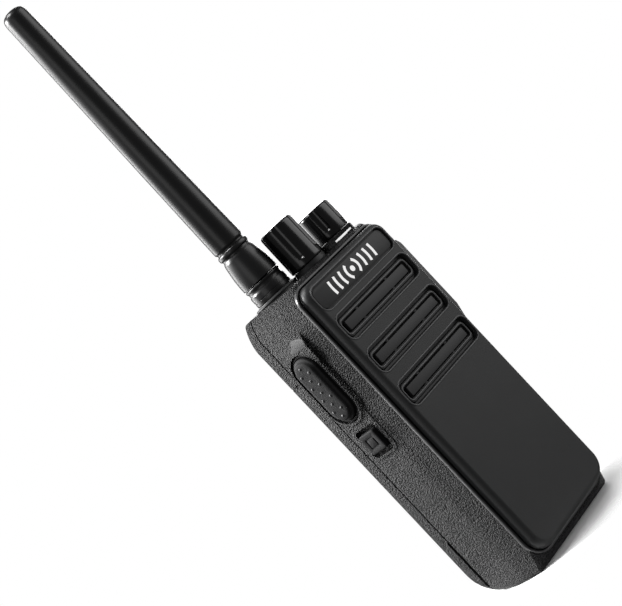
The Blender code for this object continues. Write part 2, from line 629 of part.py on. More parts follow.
def build_upper_back():
    depths = (PACK_DEPTH + GAP, 32.4, 34.4, 36.2, 37.5, 38.2, BODY_DEPTH)
    cover = loft("upper_back_cover", [shell_ring(d, low=PACK_HEIGHT + 0.4) for d in depths], GRAINED)
    inner = (PACK_DEPTH - 1, 32.4, 35.0, 36.4)
    hollow = [shell_ring(d, low=PACK_HEIGHT + 2.2, inset=1.6) for d in inner]
    cut(cover, loft("cover_hollow", hollow, None, CUTTERS))
    window = rounded(12.6, 9.0, 1.0, (0, 104.0), 2)
    cut(cover, slab("latch_window", window, "Y", 35.0, 40.0, None))
    for label, x in (("left", -15.0), ("right", 15.0)):
        cut(cover, slab(f"screw_seat_{label}", circle(2.4, (x, 106.0), 16), "Y", 37.2, 40.0, None))
        cut(cover, slab(f"screw_bore_{label}", circle(1.4, (x, 106.0), 16), "Y", 35.0, 38.0, None))
        screw = [(0, 6.0), (1.1, 6.0), (1.1, 0.8), (2.0, 0.8), (2.0, 0.2), (1.6, 0), (0, 0)]
        turned(f"back_screw_{label}", screw, (x, 38.3, 106.0), STEEL, "Y", steps=16)
    latch = slab("battery_latch", rounded(11.8, 6.0, 0.8, (0, 102.9), 2), "Y", 34.6, 39.2, SATIN_BLACK)
    for number in range(3):
        height = 101.4 + 1.5 * number
        groove = box(f"latch_groove_{number}", (-5.0, 38.8, height - 0.3), (5.0, 40.0, height + 0.3), None)
        cut(latch, groove)
    add(latch, box("latch_plate", (-8.0, 34.0, 99.0), (8.0, 35.0, 106.4), None))
    coil("latch_spring", (0.0, 32.4, 101.0), (0.0, 32.4, 109.0), 0.9, 0.2, 6)


def coil(name, start, end, radius, wire, turns):
    """A helical spring between two points on one axis."""
    start, end = Vector(start), Vector(end)
    axis = (end - start).normalized()
    across = axis.orthogonal().normalized()
    other = axis.cross(across)
    curve = bpy.data.curves.new(name, "CURVE")
    curve.dimensions = "3D"
    curve.bevel_depth = wire * MM
    curve.bevel_resolution = 1
    curve.use_fill_caps = True
    spline = curve.splines.new("POLY")
    count = turns * 10 + 1
    spline.points.add(count - 1)
    for i, point in enumerate(spline.points):
        share = i / (count - 1)
        angle = 2 * math.pi * turns * share
        around = radius * (across * math.cos(angle) + other * math.sin(angle))
        point.co = (*((start.lerp(end, share) + around) * MM), 1.0)
    curve.materials.append(STEEL)
    item = bpy.data.objects.new(name, curve)
    PARTS.objects.link(item)
    item.parent = FRAME
    return item


def build_battery():
    depths = (PACK_DEPTH + GAP, 31.5, 33.4, 35.2, 36.6, 37.6, 38.2, BODY_DEPTH)
    case = loft("battery_case", [shell_ring(d, high=PACK_HEIGHT) for d in depths], GRAINED)
    inner = (PACK_DEPTH - 1, 33.0, 35.0, 36.8)
    hollow = [shell_ring(d, high=PACK_HEIGHT - PACK_WALL, inset=PACK_WALL) for d in inner]
    cut(case, loft("case_hollow", hollow, None, CUTTERS))
    for label, sign in (("left", -1), ("right", 1)):
        x = sign * BODY_HALF_WIDTH
        slot_low = (x - 0.8, PACK_DEPTH - 1, 4.3)
        slot_high = (x + 0.8, PACK_DEPTH + 1.1, 24.4)
        cut(case, box(f"guide_{label}", slot_low, slot_high, None))
        bore = circle(1.4, (sign * CLIP_SCREW_X, CLIP_SCREW_HEIGHT), 16)
        cut(case, slab(f"case_screw_hole_{label}", bore, "Y", 36.0, 40.0, None))
    set_origin(case, 0, PACK_PIVOT_DEPTH, PACK_PIVOT_HEIGHT)
    lid = slab("battery_lid", rounded(45.6, 90.0, 3.0, (0, 48.6), 3), "Y", 30.6, 31.5, SATIN_BLACK)
    for number, x in enumerate(CONTACTS_X, 1):
        window = rounded(4.2, 5.2, 0.6, (x, 85.3), 2)
        cut(lid, slab(f"pad_window_{number}", window, "Y", 30.0, 33.0, None))
        slab(f"battery_pad_{number}", rounded(3.6, 4.6, 0.5, (x, 85.3), 2), "Y", 30.7, 31.7, BRASS)
    box("battery_cell", (-20.0, 32.0, 10.0), (20.0, 36.4, 76.0), CELL_SILVER, 1.2)
    box("battery_board", (-19.0, 32.0, 79.0), (19.0, 32.8, 92.0), BOARD_GREEN)


def clip_outline():
    """The clip seen from the side: a thumb pad, a hub round the pin and a leaf that hooks in."""
    face = CLIP_BACK - CLIP_LEAF
    outline = [(face + 0.4, 96.0), (CLIP_BACK - 0.4, 96.0), (CLIP_BACK, 95.2), (CLIP_BACK, 40.0),
               (45.6, 36.4), (43.4, 33.6), (41.0, 32.6), (39.8, 33.0), (39.3, 34.2), (39.9, 35.4),
               (41.2, 35.8), (43.0, 37.6), (44.0, 40.6), (face, 44.0), (face, 79.4)]
    for step in range(13):
        angle = math.radians(-50 - 260 * step / 12)
        outline.append((CLIP_PIVOT_DEPTH + 2.3 * math.cos(angle), CLIP_PIVOT_HEIGHT + 2.3 * math.sin(angle)))
    outline += [(face, 84.6), (face, 95.2)]
    return outline


def build_belt_clip():
    bracket_outline = rounded(22.0, 20.0, 2.0, (0, CLIP_PIVOT_HEIGHT), 3)
    bracket = slab("clip_bracket", bracket_outline, "Y", 38.7, 39.7, SATIN_BLACK)
    pivot = (CLIP_PIVOT_DEPTH, CLIP_PIVOT_HEIGHT)
    for label, sign in (("left", -1), ("right", 1)):
        low, high = sorted((sign * (CLIP_HALF_WIDTH - 1.7), sign * CLIP_HALF_WIDTH))
        web_low = (low + 0.01, 39.4, CLIP_PIVOT_HEIGHT - 2.2)
        web_high = (high - 0.01, CLIP_PIVOT_DEPTH, CLIP_PIVOT_HEIGHT + 2.2)
        add(bracket, box(f"ear_web_{label}", web_low, web_high, None))
        add(bracket, slab(f"ear_{label}", circle(2.3, pivot, 24), "X", low, high, None))
        bore = circle(1.4, (sign * CLIP_SCREW_X, CLIP_SCREW_HEIGHT), 16)
        cut(bracket, slab(f"bracket_screw_hole_{label}", bore, "Y", 38.0, 41.0, None))
        screw = [(0, 3.6), (1.1, 3.6), (1.1, 0.9), (2.0, 0.9), (2.0, 0.5), (1.5, 0), (0, 0)]
        screw_centre = (sign * CLIP_SCREW_X, 40.9, CLIP_SCREW_HEIGHT)
        turned(f"clip_screw_{label}", screw, screw_centre, STEEL, "Y", steps=16)
    cut(bracket, slab("ear_bore", circle(1.1, pivot, 16), "X", -12.0, 12.0, None))
    pin = [(0, 10.3), (0.8, 10.3), (0.8, -10.3), (0, -10.3)]
    turned("clip_pin", pin, (0, *pivot), STEEL, "X", steps=16)
    half = CLIP_HALF_WIDTH - 2.0
    clip = slab("belt_clip", clip_outline(), "X", -half, half, SATIN_BLACK)
    cut(clip, slab("clip_bore", circle(1.1, pivot, 16), "X", -12.0, 12.0, None))
    cut(clip, box("spring_notch", (-3.2, 38.0, 79.0), (3.2, 44.3, 85.0), None))
    set_origin(clip, 0, *pivot)
    coil("clip_spring", (-2.8, *pivot), (2.8, *pivot), 1.45, 0.25, 6)


clear_scene()
for group in (PARTS, CUTTERS):
    bpy.context.scene.collection.children.link(group)
CUTTERS.hide_render = True
FRAME = bpy.data.objects.new("radio_axes", None)
FRAME.location = (FRAME_X * MM, FRAME_Y * MM, 0.0)
PARTS.objects.link(FRAME)

GRAINED = make_material("grained_black", (0.014, 0.014, 0.015), 0.5)
SATIN_BLACK = make_material("satin_black", (0.012, 0.012, 0.013), 0.42)
GLOSS_BLACK = make_material("gloss_black", (0.01, 0.01, 0.011), 0.25)
KNOB_BLACK = make_material("knob_black", (0.012, 0.012, 0.013), 0.3)
RUBBER_BLACK = make_material("rubber_black", (0.013, 0.013, 0.014), 0.55)
LOUVRE_GREY = make_material("louvre_grey", (0.03, 0.03, 0.032), 0.5)
CLOTH_BLACK = make_material("cloth_black", (0.006, 0.006, 0.006), 0.9)
SWITCH_GREY = make_material("switch_grey", (0.1, 0.1, 0.1), 0.5)
BOARD_GREEN = make_material("board_green", (0.01, 0.09, 0.035), 0.4)
LIGHT_WHITE = make_material("light_white", (0.75, 0.75, 0.74), 0.3)
CELL_SILVER = make_material("cell_silver", (0.45, 0.46, 0.48), 0.4)
TIN = make_material("tin_plate", (0.6, 0.6, 0.6), 0.35, 1.0)
STEEL = make_material("steel", (0.55, 0.55, 0.55), 0.3, 1.0)
CAST_GREY = make_material("cast_grey", (0.4, 0.4, 0.41), 0.45, 1.0)
BRASS = make_material("brass", (0.75, 0.55, 0.25), 0.3, 1.0)

build_housing()
build_front_panel()
build_front_inserts()
build_speaker()
build_boards()
build_top_controls()
build_antenna()
build_side_keys()
build_socket_cover()
build_back()
build_upper_back()
build_battery()
build_belt_clip()
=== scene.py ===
"""The two way radio's looks: finer skins over the CAD frame, procedural finishes, lights and camera.

Shape constants are millimetres in the radio's own axes: x across, depth behind the front panel's
face and height above the floor. to_world turns them into the frame's metres.
"""

import json
import math

import bmesh
import bpy
from mathutils import Matrix, Vector


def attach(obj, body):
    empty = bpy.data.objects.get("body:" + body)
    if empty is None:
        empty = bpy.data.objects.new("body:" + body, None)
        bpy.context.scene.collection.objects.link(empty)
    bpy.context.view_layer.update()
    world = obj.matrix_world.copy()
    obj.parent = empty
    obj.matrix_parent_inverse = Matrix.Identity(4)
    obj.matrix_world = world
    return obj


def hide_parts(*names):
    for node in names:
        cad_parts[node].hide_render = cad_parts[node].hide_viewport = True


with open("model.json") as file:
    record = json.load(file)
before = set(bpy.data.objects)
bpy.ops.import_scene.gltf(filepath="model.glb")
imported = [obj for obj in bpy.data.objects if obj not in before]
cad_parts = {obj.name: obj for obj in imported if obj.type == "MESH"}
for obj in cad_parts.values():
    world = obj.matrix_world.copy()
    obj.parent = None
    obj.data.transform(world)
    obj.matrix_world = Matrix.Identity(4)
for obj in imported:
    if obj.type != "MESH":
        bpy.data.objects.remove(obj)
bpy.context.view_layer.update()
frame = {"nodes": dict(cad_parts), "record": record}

MM = 0.001
FRAME_X = -0.6
FRAME_Y = -23.2

HALF_WIDTH = 25.4
BODY_DEPTH = 38.4
DECK_FRONT = 121.4
DECK_BACK = 122.4
RIM_DEPTH = 4.0
SIDE_START = 7.1
FLAT_START = 14.4
PACK_DEPTH = 30.0
PACK_HEIGHT = 96.0
COVER_FOOT = 96.1
SIDE_CORNER = 5.0
FOOT_CORNER = 10.0
HEAD_CORNER = 6.0
PANEL_HALF = 23.4
PANEL_BOTTOM = 4.5
PANEL_TOP = 118.8
SLOTS = (100.2, 85.8, 71.4)
PLATE_CENTRE = 112.3
KNOB_DEPTH = 13.0
KNOB_RADIUS = 6.7
VOLUME_X = -1.4
CHANNEL_X = 15.4
ANTENNA = (-13.5, 21.8)
KEY_DEPTH = 21.6
TALK_CENTRE = 89.8
MONITOR_CENTRE = 66.5
TALK_KEY = (KEY_DEPTH, TALK_CENTRE)
MONITOR_KEY = (KEY_DEPTH, MONITOR_CENTRE)
RAMP_LOW = 104.7
RAMP_TOP_X = -26.45
LIGHT_X = 12.9


def to_world(x, depth, height):
    return Vector(((x + FRAME_X) * MM, (depth + FRAME_Y) * MM, height * MM))


# ---------------------------------------------------------------- finishes


def base_material(name, colour, roughness, metallic=0.0):
    material = bpy.data.materials.new(name)
    material.use_nodes = True
    nodes = material.node_tree.nodes
    shader = nodes["Principled BSDF"]
    shader.inputs["Base Color"].default_value = (*colour, 1.0)
    shader.inputs["Roughness"].default_value = roughness
    shader.inputs["Metallic"].default_value = metallic
    return material, material.node_tree, shader


def add_node(tree, kind, **inputs):
    node = tree.nodes.new(kind)
    for key, value in inputs.items():
        node.inputs[key.replace("_", " ")].default_value = value
    return node


def plastic(name, colour, roughness, bump_scale=2600.0, bump=0.08, variation=0.08, metallic=0.0):
    """A moulded finish: faint mould texture and slightly uneven gloss."""
    material, tree, shader = base_material(name, colour, roughness, metallic)
    place = tree.nodes.new("ShaderNodeTexCoord")
    fine = add_node(tree, "ShaderNodeTexNoise", Scale=bump_scale, Detail=2.0)
    broad = add_node(tree, "ShaderNodeTexNoise", Scale=90.0, Detail=3.0)
    tree.links.new(place.outputs["Object"], fine.inputs["Vector"])
    tree.links.new(place.outputs["Object"], broad.inputs["Vector"])
    gloss = tree.nodes.new("ShaderNodeMapRange")
    gloss.inputs["To Min"].default_value = max(roughness - variation, 0.05)
    gloss.inputs["To Max"].default_value = min(roughness + variation, 1.0)
    tree.links.new(broad.outputs["Fac"], gloss.inputs["Value"])
    tree.links.new(gloss.outputs["Result"], shader.inputs["Roughness"])
    relief = add_node(tree, "ShaderNodeBump", Strength=bump, Distance=0.0001)
    tree.links.new(fine.outputs["Fac"], relief.inputs["Height"])
    tree.links.new(relief.outputs["Normal"], shader.inputs["Normal"])
    return material


def leather_grain(name, colour, roughness, cell_scale=1150.0, strength=0.8):
    """The housing's leather-like spark finish: small soft cells with creases between them. The colour
    is painted darker in the creases as shade and lighter on the cell tops as a highlight.
    """
    material, tree, shader = base_material(name, colour, roughness)
    shader.inputs["Specular IOR Level"].default_value = 0.2
    place = tree.nodes.new("ShaderNodeTexCoord")
    warp = add_node(tree, "ShaderNodeTexNoise", Scale=700.0, Detail=2.0)
    tree.links.new(place.outputs["Object"], warp.inputs["Vector"])
    push = tree.nodes.new("ShaderNodeVectorMath")
    push.operation = "MULTIPLY_ADD"
    push.inputs[1].default_value = (0.0009, 0.0009, 0.0009)
    tree.links.new(warp.outputs["Color"], push.inputs[0])
    tree.links.new(place.outputs["Object"], push.inputs[2])
    cells = add_node(tree, "ShaderNodeTexVoronoi", Scale=cell_scale)
    cells.feature = "SMOOTH_F1"
    tree.links.new(push.outputs["Vector"], cells.inputs["Vector"])
    fine = add_node(tree, "ShaderNodeTexNoise", Scale=3200.0, Detail=3.0)
    tree.links.new(place.outputs["Object"], fine.inputs["Vector"])
    height = tree.nodes.new("ShaderNodeMath")
    height.operation = "MULTIPLY_ADD"
    height.inputs[1].default_value = 0.45
    tree.links.new(fine.outputs["Fac"], height.inputs[0])
    tree.links.new(cells.outputs["Distance"], height.inputs[2])
    # Painted shade and highlight: the base colour darkens in the creases as if in shade and lightens on
    # the cell tops as if they caught the light.
    painted_grain_shading = tree.nodes.new("ShaderNodeMapRange")
    painted_grain_shading.inputs["From Min"].default_value = 0.35
    painted_grain_shading.inputs["From Max"].default_value = 0.8
    painted_grain_shading.inputs["To Min"].default_value = 1.9
    painted_grain_shading.inputs["To Max"].default_value = 0.15
    tree.links.new(height.outputs["Value"], painted_grain_shading.inputs["Value"])
    shade = tree.nodes.new("ShaderNodeVectorMath")
    shade.operation = "SCALE"
    shade.inputs[0].default_value = colour
    tree.links.new(painted_grain_shading.outputs["Result"], shade.inputs["Scale"])
    tree.links.new(shade.outputs["Vector"], shader.inputs["Base Color"])
    relief = add_node(tree, "ShaderNodeBump", Strength=strength, Distance=0.00085)
    relief.invert = True
    tree.links.new(height.outputs["Value"], relief.inputs["Height"])
    tree.links.new(relief.outputs["Normal"], shader.inputs["Normal"])
    gloss = tree.nodes.new("ShaderNodeMapRange")
    gloss.inputs["To Min"].default_value = roughness - 0.16
    gloss.inputs["To Max"].default_value = roughness + 0.16
    tree.links.new(fine.outputs["Fac"], gloss.inputs["Value"])
    tree.links.new(gloss.outputs["Result"], shader.inputs["Roughness"])
    return material


def glowing_white(name):
    """White paint and light pipe with a painted glow: a faint emission makes them a little brighter
    than the light on them.
    """
    material, tree, shader = base_material(name, (0.85, 0.85, 0.84), 0.35)
    place = tree.nodes.new("ShaderNodeTexCoord")
    painted_glow_mottle = add_node(tree, "ShaderNodeTexNoise", Scale=400.0, Detail=2.0)
    tree.links.new(place.outputs["Object"], painted_glow_mottle.inputs["Vector"])
    level = tree.nodes.new("ShaderNodeMapRange")
    level.inputs["To Min"].default_value = 0.4
    level.inputs["To Max"].default_value = 0.5
    tree.links.new(painted_glow_mottle.outputs["Fac"], level.inputs["Value"])
    # Painted glow: an emission between 0.4 and 0.5, mottled by the noise.
    shader.inputs["Emission Color"].default_value = (1.0, 1.0, 1.0, 1.0)
    tree.links.new(level.outputs["Result"], shader.inputs["Emission Strength"])
    return material


def cloth(name, colour):
    """Woven acoustic cloth."""
    material, tree, shader = base_material(name, colour, 0.9)
    place = tree.nodes.new("ShaderNodeTexCoord")
    weave = add_node(tree, "ShaderNodeTexVoronoi", Scale=2400.0)
    tree.links.new(place.outputs["Object"], weave.inputs["Vector"])
    relief = add_node(tree, "ShaderNodeBump", Strength=0.8, Distance=0.0002)
    tree.links.new(weave.outputs["Distance"], relief.inputs["Height"])
    tree.links.new(relief.outputs["Normal"], shader.inputs["Normal"])
    return material


def board_finish(name):
    """Solder mask with the faint tracks under it."""
    material, tree, shader = base_material(name, (0.01, 0.09, 0.035), 0.35)
    place = tree.nodes.new("ShaderNodeTexCoord")
    tracks = add_node(tree, "ShaderNodeTexBrick", Scale=260.0)
    tracks.inputs["Color1"].default_value = (0.01, 0.09, 0.035, 1.0)
    tracks.inputs["Color2"].default_value = (0.012, 0.1, 0.04, 1.0)
    tracks.inputs["Mortar"].default_value = (0.02, 0.15, 0.06, 1.0)
    tree.links.new(place.outputs["Object"], tracks.inputs["Vector"])
    tree.links.new(tracks.outputs["Color"], shader.inputs["Base Color"])
    return material


FINISHES = {
    "grained_black": leather_grain("grained_black_finish", (0.010, 0.010, 0.0105), 0.45, 2200.0, 1.0),
    # The lip finish below is lighter than the black round it: a painted highlight for the panel lip and
    # the talk key's dots.
    "lip_highlight_black": plastic("lip_black_finish", (0.034, 0.034, 0.035), 0.34, 2600.0, 0.1, 0.04),
    "ramp_black": plastic("ramp_black_finish", (0.01, 0.01, 0.0105), 0.5, 1700.0, 0.9, 0.15),
    # The rim finish below is a lighter grey: a painted highlight along the beads round the slots and
    # the name plate.
    "rim_highlight_grey": plastic("rim_grey_finish", (0.075, 0.075, 0.077), 0.4, 2600.0, 0.1, 0.04),
    "satin_black": plastic("satin_black_finish", (0.013, 0.0135, 0.014), 0.55, 2600.0, 0.3, 0.03),
    "gloss_black": plastic("gloss_black_finish", (0.012, 0.012, 0.013), 0.33),
    "knob_black": plastic("knob_black_finish", (0.002, 0.002, 0.0022), 0.2, 2600.0, 0.01, 0.03),
    "antenna_black": plastic("antenna_black_finish", (0.0045, 0.0045, 0.005), 0.34, 1800.0, 0.04, 0.05),
    "rubber_black": plastic("rubber_black_finish", (0.0035, 0.0035, 0.004), 0.38, 1800.0, 0.08, 0.05),
    "key_black": plastic("key_black_finish", (0.005, 0.005, 0.0055), 0.7, 1300.0, 0.9, 0.12),
    "louvre_grey": plastic("louvre_grey_finish", (0.032, 0.032, 0.033), 0.6, 2600.0, 0.3, 0.03),
    "cloth_black": cloth("cloth_black_finish", (0.004, 0.004, 0.004)),
    "switch_grey": plastic("switch_grey_finish", (0.1, 0.1, 0.1), 0.5),
    "board_green": board_finish("board_green_finish"),
    "light_white": glowing_white("light_white_finish"),
    "cell_silver": plastic("cell_silver_finish", (0.45, 0.46, 0.48), 0.4, 400.0, 0.2),
    "tin_plate": plastic("tin_plate_finish", (0.6, 0.6, 0.6), 0.35, 900.0, 0.1, 0.08, 1.0),
    "steel": plastic("steel_finish", (0.24, 0.24, 0.24), 0.4, 1500.0, 0.08, 0.08, 1.0),
    "cast_grey": plastic("cast_grey_finish", (0.4, 0.4, 0.41), 0.45, 1200.0, 0.3, 0.08, 1.0),
    "brass": plastic("brass_finish", (0.75, 0.55, 0.25), 0.3, 1500.0, 0.08, 0.08, 1.0),
}
for dull in ("key_black", "ramp_black"):
    FINISHES[dull].node_tree.nodes["Principled BSDF"].inputs["Specular IOR Level"].default_value = 0.25


# ---------------------------------------------------------------- building blocks


def finish_mesh(bm, name, angle=32.0):
    bmesh.ops.recalc_face_normals(bm, faces=bm.faces)
    mesh = bpy.data.meshes.new(name)
    bm.to_mesh(mesh)
    bm.free()
    mesh.shade_smooth()
    mesh.set_sharp_from_angle(angle=math.radians(angle))
    return mesh


def put(name, mesh, finish=None):
    item = bpy.data.objects.new(name, mesh)
    bpy.context.scene.collection.objects.link(item)
    if finish:
        item.data.materials.append(FINISHES[finish])
    return item


def loft(name, rings, finish=None):
    """A closed solid through rings of equally many points, capped at both ends."""
    bm = bmesh.new()
    loops = [[bm.verts.new(to_world(*point)) for point in ring] for ring in rings]
    count = len(rings[0])
    for first, second in zip(loops, loops[1:]):
        for i in range(count):
            j = (i + 1) % count
            bm.faces.new((first[i], first[j], second[j], second[i]))
    bm.faces.new(loops[0])
    bm.faces.new(loops[-1])
    return put(name, finish_mesh(bm, name), finish)


def rounded(width, height, radius, centre=(0.0, 0.0), steps=8):
    """Corner points of a rounded rectangle, anticlockwise."""
    radius = max(min(radius, width / 2 - 0.01, height / 2 - 0.01), 0.02)
    u, v = width / 2 - radius, height / 2 - radius
    points = []
    for quarter, (su, sv) in enumerate(((1, 1), (-1, 1), (-1, -1), (1, -1))):
        for step in range(steps + 1):
            angle = math.radians(90 * (quarter + step / steps))
            across = centre[0] + su * u + radius * math.cos(angle)
            along = centre[1] + sv * v + radius * math.sin(angle)
            points.append((across, along))
    return points


def span(low, high, radius, steps=12):
    """A rounded rectangle between two corners."""
    centre = ((low[0] + high[0]) / 2, (low[1] + high[1]) / 2)
    return rounded(high[0] - low[0], high[1] - low[1], radius, centre, steps)


def circle(radius, centre=(0.0, 0.0), steps=64):
    angles = [2 * math.pi * i / steps for i in range(steps)]
    return [(centre[0] + radius * math.cos(a), centre[1] + radius * math.sin(a)) for a in angles]


def on_plane(axis, outline, level):
    """The points of a flat outline at a level along x, depth (Y) or height (Z)."""
    if axis == "X":
        return [(level, u, v) for u, v in outline]
    if axis == "Y":
        return [(u, level, v) for u, v in outline]
    return [(u, v, level) for u, v in outline]


def slab(name, outline, axis, low, high, finish=None):
    return loft(name, [on_plane(axis, outline, low), on_plane(axis, outline, high)], finish)


def box(name, low, high, finish=None):
    outline = [(low[0], low[1]), (high[0], low[1]), (high[0], high[1]), (low[0], high[1])]
    return slab(name, outline, "Z", low[2], high[2], finish)


def turned(name, profile, centre, finish=None, axis="Z", steps=96):
    """A piece turned about an axis. The profile is (radius, distance), closed if it leaves the axis."""
    bm = bmesh.new()
    rings = []
    for radius, along in profile:
        if radius < 1e-6:
            rings.append([axis_point(axis, centre, 0.0, 0.0, along)])
            continue
        ring = []
        for i in range(steps):
            angle = 2 * math.pi * i / steps
            u, v = radius * math.cos(angle), radius * math.sin(angle)
            ring.append(axis_point(axis, centre, u, v, along))
        rings.append(ring)
    loops = [[bm.verts.new(to_world(*point)) for point in ring] for ring in rings]
    closed = profile[0][0] > 1e-6 and profile[-1][0] > 1e-6
    pairs = list(zip(loops, loops[1:])) + ([(loops[-1], loops[0])] if closed else [])
    for first, second in pairs:
        for i in range(steps):
            j = (i + 1) % steps
            corners = [first[i % len(first)]]
            if len(first) > 1:
                corners.append(first[j])
            if len(second) > 1:
                corners.append(second[j])
            corners.append(second[i % len(second)])
            bm.faces.new(corners)
    return put(name, finish_mesh(bm, name, 40), finish)


def axis_point(axis, centre, u, v, along):
    if axis == "X":
        return (centre[0] + along, centre[1] + u, centre[2] + v)
    return (centre[0] + u, centre[1] + v, centre[2] + along)


HELPERS = []


def combine(target, helper, operation):
    step = target.modifiers.new(operation.lower(), "BOOLEAN")
    step.operation = operation
    step.solver = "EXACT"
    step.object = helper
    HELPERS.append(helper)


def cut(target, *cutters):
    for cutter in cutters:
        combine(target, cutter, "DIFFERENCE")


def add(target, *pieces):
    for piece in pieces:
        combine(target, piece, "UNION")


def baked_mesh(item):
    """The item's mesh with its modifiers applied. The modifiers are removed."""
    bpy.context.view_layer.update()
    evaluated = item.evaluated_get(bpy.context.evaluated_depsgraph_get())
    mesh = bpy.data.meshes.new_from_object(evaluated)
    item.modifiers.clear()
    return mesh


def settle(item, bevel=0.0, segments=3, angle=32.0):
    """Apply a piece's booleans and round its sharp edges, then shade it smooth."""
    mesh = baked_mesh(item)
    bm = bmesh.new()
    bm.from_mesh(mesh)
    bmesh.ops.remove_doubles(bm, verts=bm.verts, dist=2e-6)
    bmesh.ops.dissolve_degenerate(bm, edges=bm.edges, dist=2e-6)
    bmesh.ops.dissolve_limit(bm, angle_limit=math.radians(0.6), verts=bm.verts, edges=bm.edges)
    bm.to_mesh(mesh)
    bm.free()
    item.data = mesh
    if bevel:
        step = item.modifiers.new("rounded_edges", "BEVEL")
        step.width = bevel * MM
        step.segments = segments
        step.limit_method = "ANGLE"
        step.angle_limit = math.radians(angle)
        step.miter_outer = "MITER_ARC"
        item.data = baked_mesh(item)
    item.data.shade_smooth()
    item.data.set_sharp_from_angle(angle=math.radians(40.0))
    return item


def stand_for(item, body, slot, *nodes):
    """Ride the item on its body, in a material slot, in place of the CAD nodes it refines."""
    if nodes:
        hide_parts(*nodes)
    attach(item, body)
    if not item.data.materials:
        item.data.materials.append(FINISHES[slot])
    return item


# ---------------------------------------------------------------- the body's outer form


def ease(value, low, high):
    return min(max((value - low) / (high - low), 0.0), 1.0)


def half_width(depth):
    rim = 0.1 * (1 - ease(depth, RIM_DEPTH, SIDE_START)) ** 2
    front = rim + 1.3 * (1 - ease(depth, RIM_DEPTH, FLAT_START))
    behind = max(depth - (BODY_DEPTH - SIDE_CORNER), 0.0)
    return HALF_WIDTH - front - SIDE_CORNER + math.sqrt(max(SIDE_CORNER**2 - behind**2, 0.0))


def bottom(depth):
    front = 2.0 * (1 - ease(depth, RIM_DEPTH, SIDE_START))
    behind = max(depth - (BODY_DEPTH - FOOT_CORNER), 0.0)
    return front + FOOT_CORNER - math.sqrt(max(FOOT_CORNER**2 - behind**2, 0.0))


def top(depth):
    rim = 1.6 * (1 - ease(depth, RIM_DEPTH, SIDE_START)) ** 2
    level = DECK_FRONT + (DECK_BACK - DECK_FRONT) * ease(depth, SIDE_START, PACK_DEPTH)
    behind = max(depth - (BODY_DEPTH - HEAD_CORNER), 0.0)
    return level - rim - HEAD_CORNER + math.sqrt(max(HEAD_CORNER**2 - behind**2, 0.0))


def foot_radius(depth):
    at_rim = 7.0 * (1 - ease(depth, RIM_DEPTH, SIDE_START))
    before_seam = 3.5 * ease(depth, 20.0, PACK_DEPTH)
    past_seam = 3.5 * ease(depth, PACK_DEPTH, BODY_DEPTH)
    return 1.5 + at_rim + before_seam + past_seam


def shell_ring(depth, low=None, high=None, inset=0.0, steps=12):
    """The body's outline at a depth. low or high cuts it off square at that height."""
    half = half_width(depth) - inset
    foot = bottom(depth) + inset if low is None else low
    head = top(depth) - inset if high is None else high
    radius = max(foot_radius(depth) - inset, 0.6) if low is None else 0.4
    shoulder_in, shoulder_drop = (3.2, 8.0) if high is None else (0.3, 0.3)
    side = []
    for step in range(steps + 1):
        angle = math.radians(-90 + 90 * step / steps)
        x = half - radius + radius * math.cos(angle)
        side.append((x, foot + radius + radius * math.sin(angle)))
    for step in range(steps + 1):
        along = step / steps
        bulge = 0.6 * 4 * along * (1 - along) if high is None else 0.0
        side.append((half - shoulder_in * along + bulge, head - shoulder_drop * (1 - along)))
    other = [(-x, z) for x, z in reversed(side)]
    return [(x, depth, z) for x, z in side + other]


def panel_ring(depth, inset, steps=12):
    half = PANEL_HALF - inset
    low, high = PANEL_BOTTOM + inset, PANEL_TOP - inset
    side = []
    for centre_z, radius, start in ((low, 7.0 - inset, -90), (high, 4.5 - inset, 0)):
        middle = centre_z + radius if start < 0 else centre_z - radius
        for step in range(steps + 1):
            angle = math.radians(start + 90 * step / steps)
            side.append((half - radius + radius * math.cos(angle), middle + radius * math.sin(angle)))
    other = [(-x, z) for x, z in reversed(side)]
    return [(x, depth, z) for x, z in side + other]


def arc_steps(start, end, count):
    return [start + (end - start) * i / count for i in range(count + 1)]


# ---------------------------------------------------------------- housing


def add_plinth(housing):
    """The channel knob's raised plinth, hollowed beside the volume knob."""
    middle = (11.75, 13.25)
    rings = [on_plane("Z", rounded(17.1, 13.5, 2.4, middle), level) for level in (119.9, 123.6)]
    rings.append(on_plane("Z", rounded(16.5, 12.9, 2.1, middle), 123.9))
    add(housing, loft("plinth_block", rings))
    cut(housing, slab("scallop", circle(KNOB_RADIUS + 0.4, (VOLUME_X, KNOB_DEPTH)), "Z", 122.0, 126.0))


def add_key_bank(housing):
    """The raised flat round the side keys, the rim round the talk key and the ramp above it."""
    island = []
    for level, grow in ((-25.0, 0.5), (-25.45, 0.25), (-25.6, 0.05), (-25.65, -0.15)):
        low, high = (FLAT_START - grow, 60.0 - grow), (29.2 + 0.5 * grow, 106.5 + grow)
        island.append(on_plane("X", span(low, high, 3.0 + grow), level))
    add(housing, loft("key_island", island))
    rim = []
    for level, share in ((-25.2, 1.0), (-25.5, 0.75), (-26.15, 0.12), (-26.25, 0.0)):
        low = (13.7 - 1.4 * share, 74.5 - 1.2 * share)
        high = (29.2 + 0.7 * share, 105.1 + 3.4 * share)
        rim.append(on_plane("X", span(low, high, 7.7), level))
    add(housing, loft("key_rim", rim))
    foot = [(12.3, 98.0), (25.0, 98.0), (20.0, 109.3), (12.3, 109.3)]
    head = [(12.7, 98.0), (23.0, 98.0), (22.0, RAMP_LOW), (12.7, RAMP_LOW)]
    ramp = [on_plane("X", foot, -25.2), on_plane("X", head, RAMP_TOP_X)]
    add(housing, loft("key_ramp", ramp))


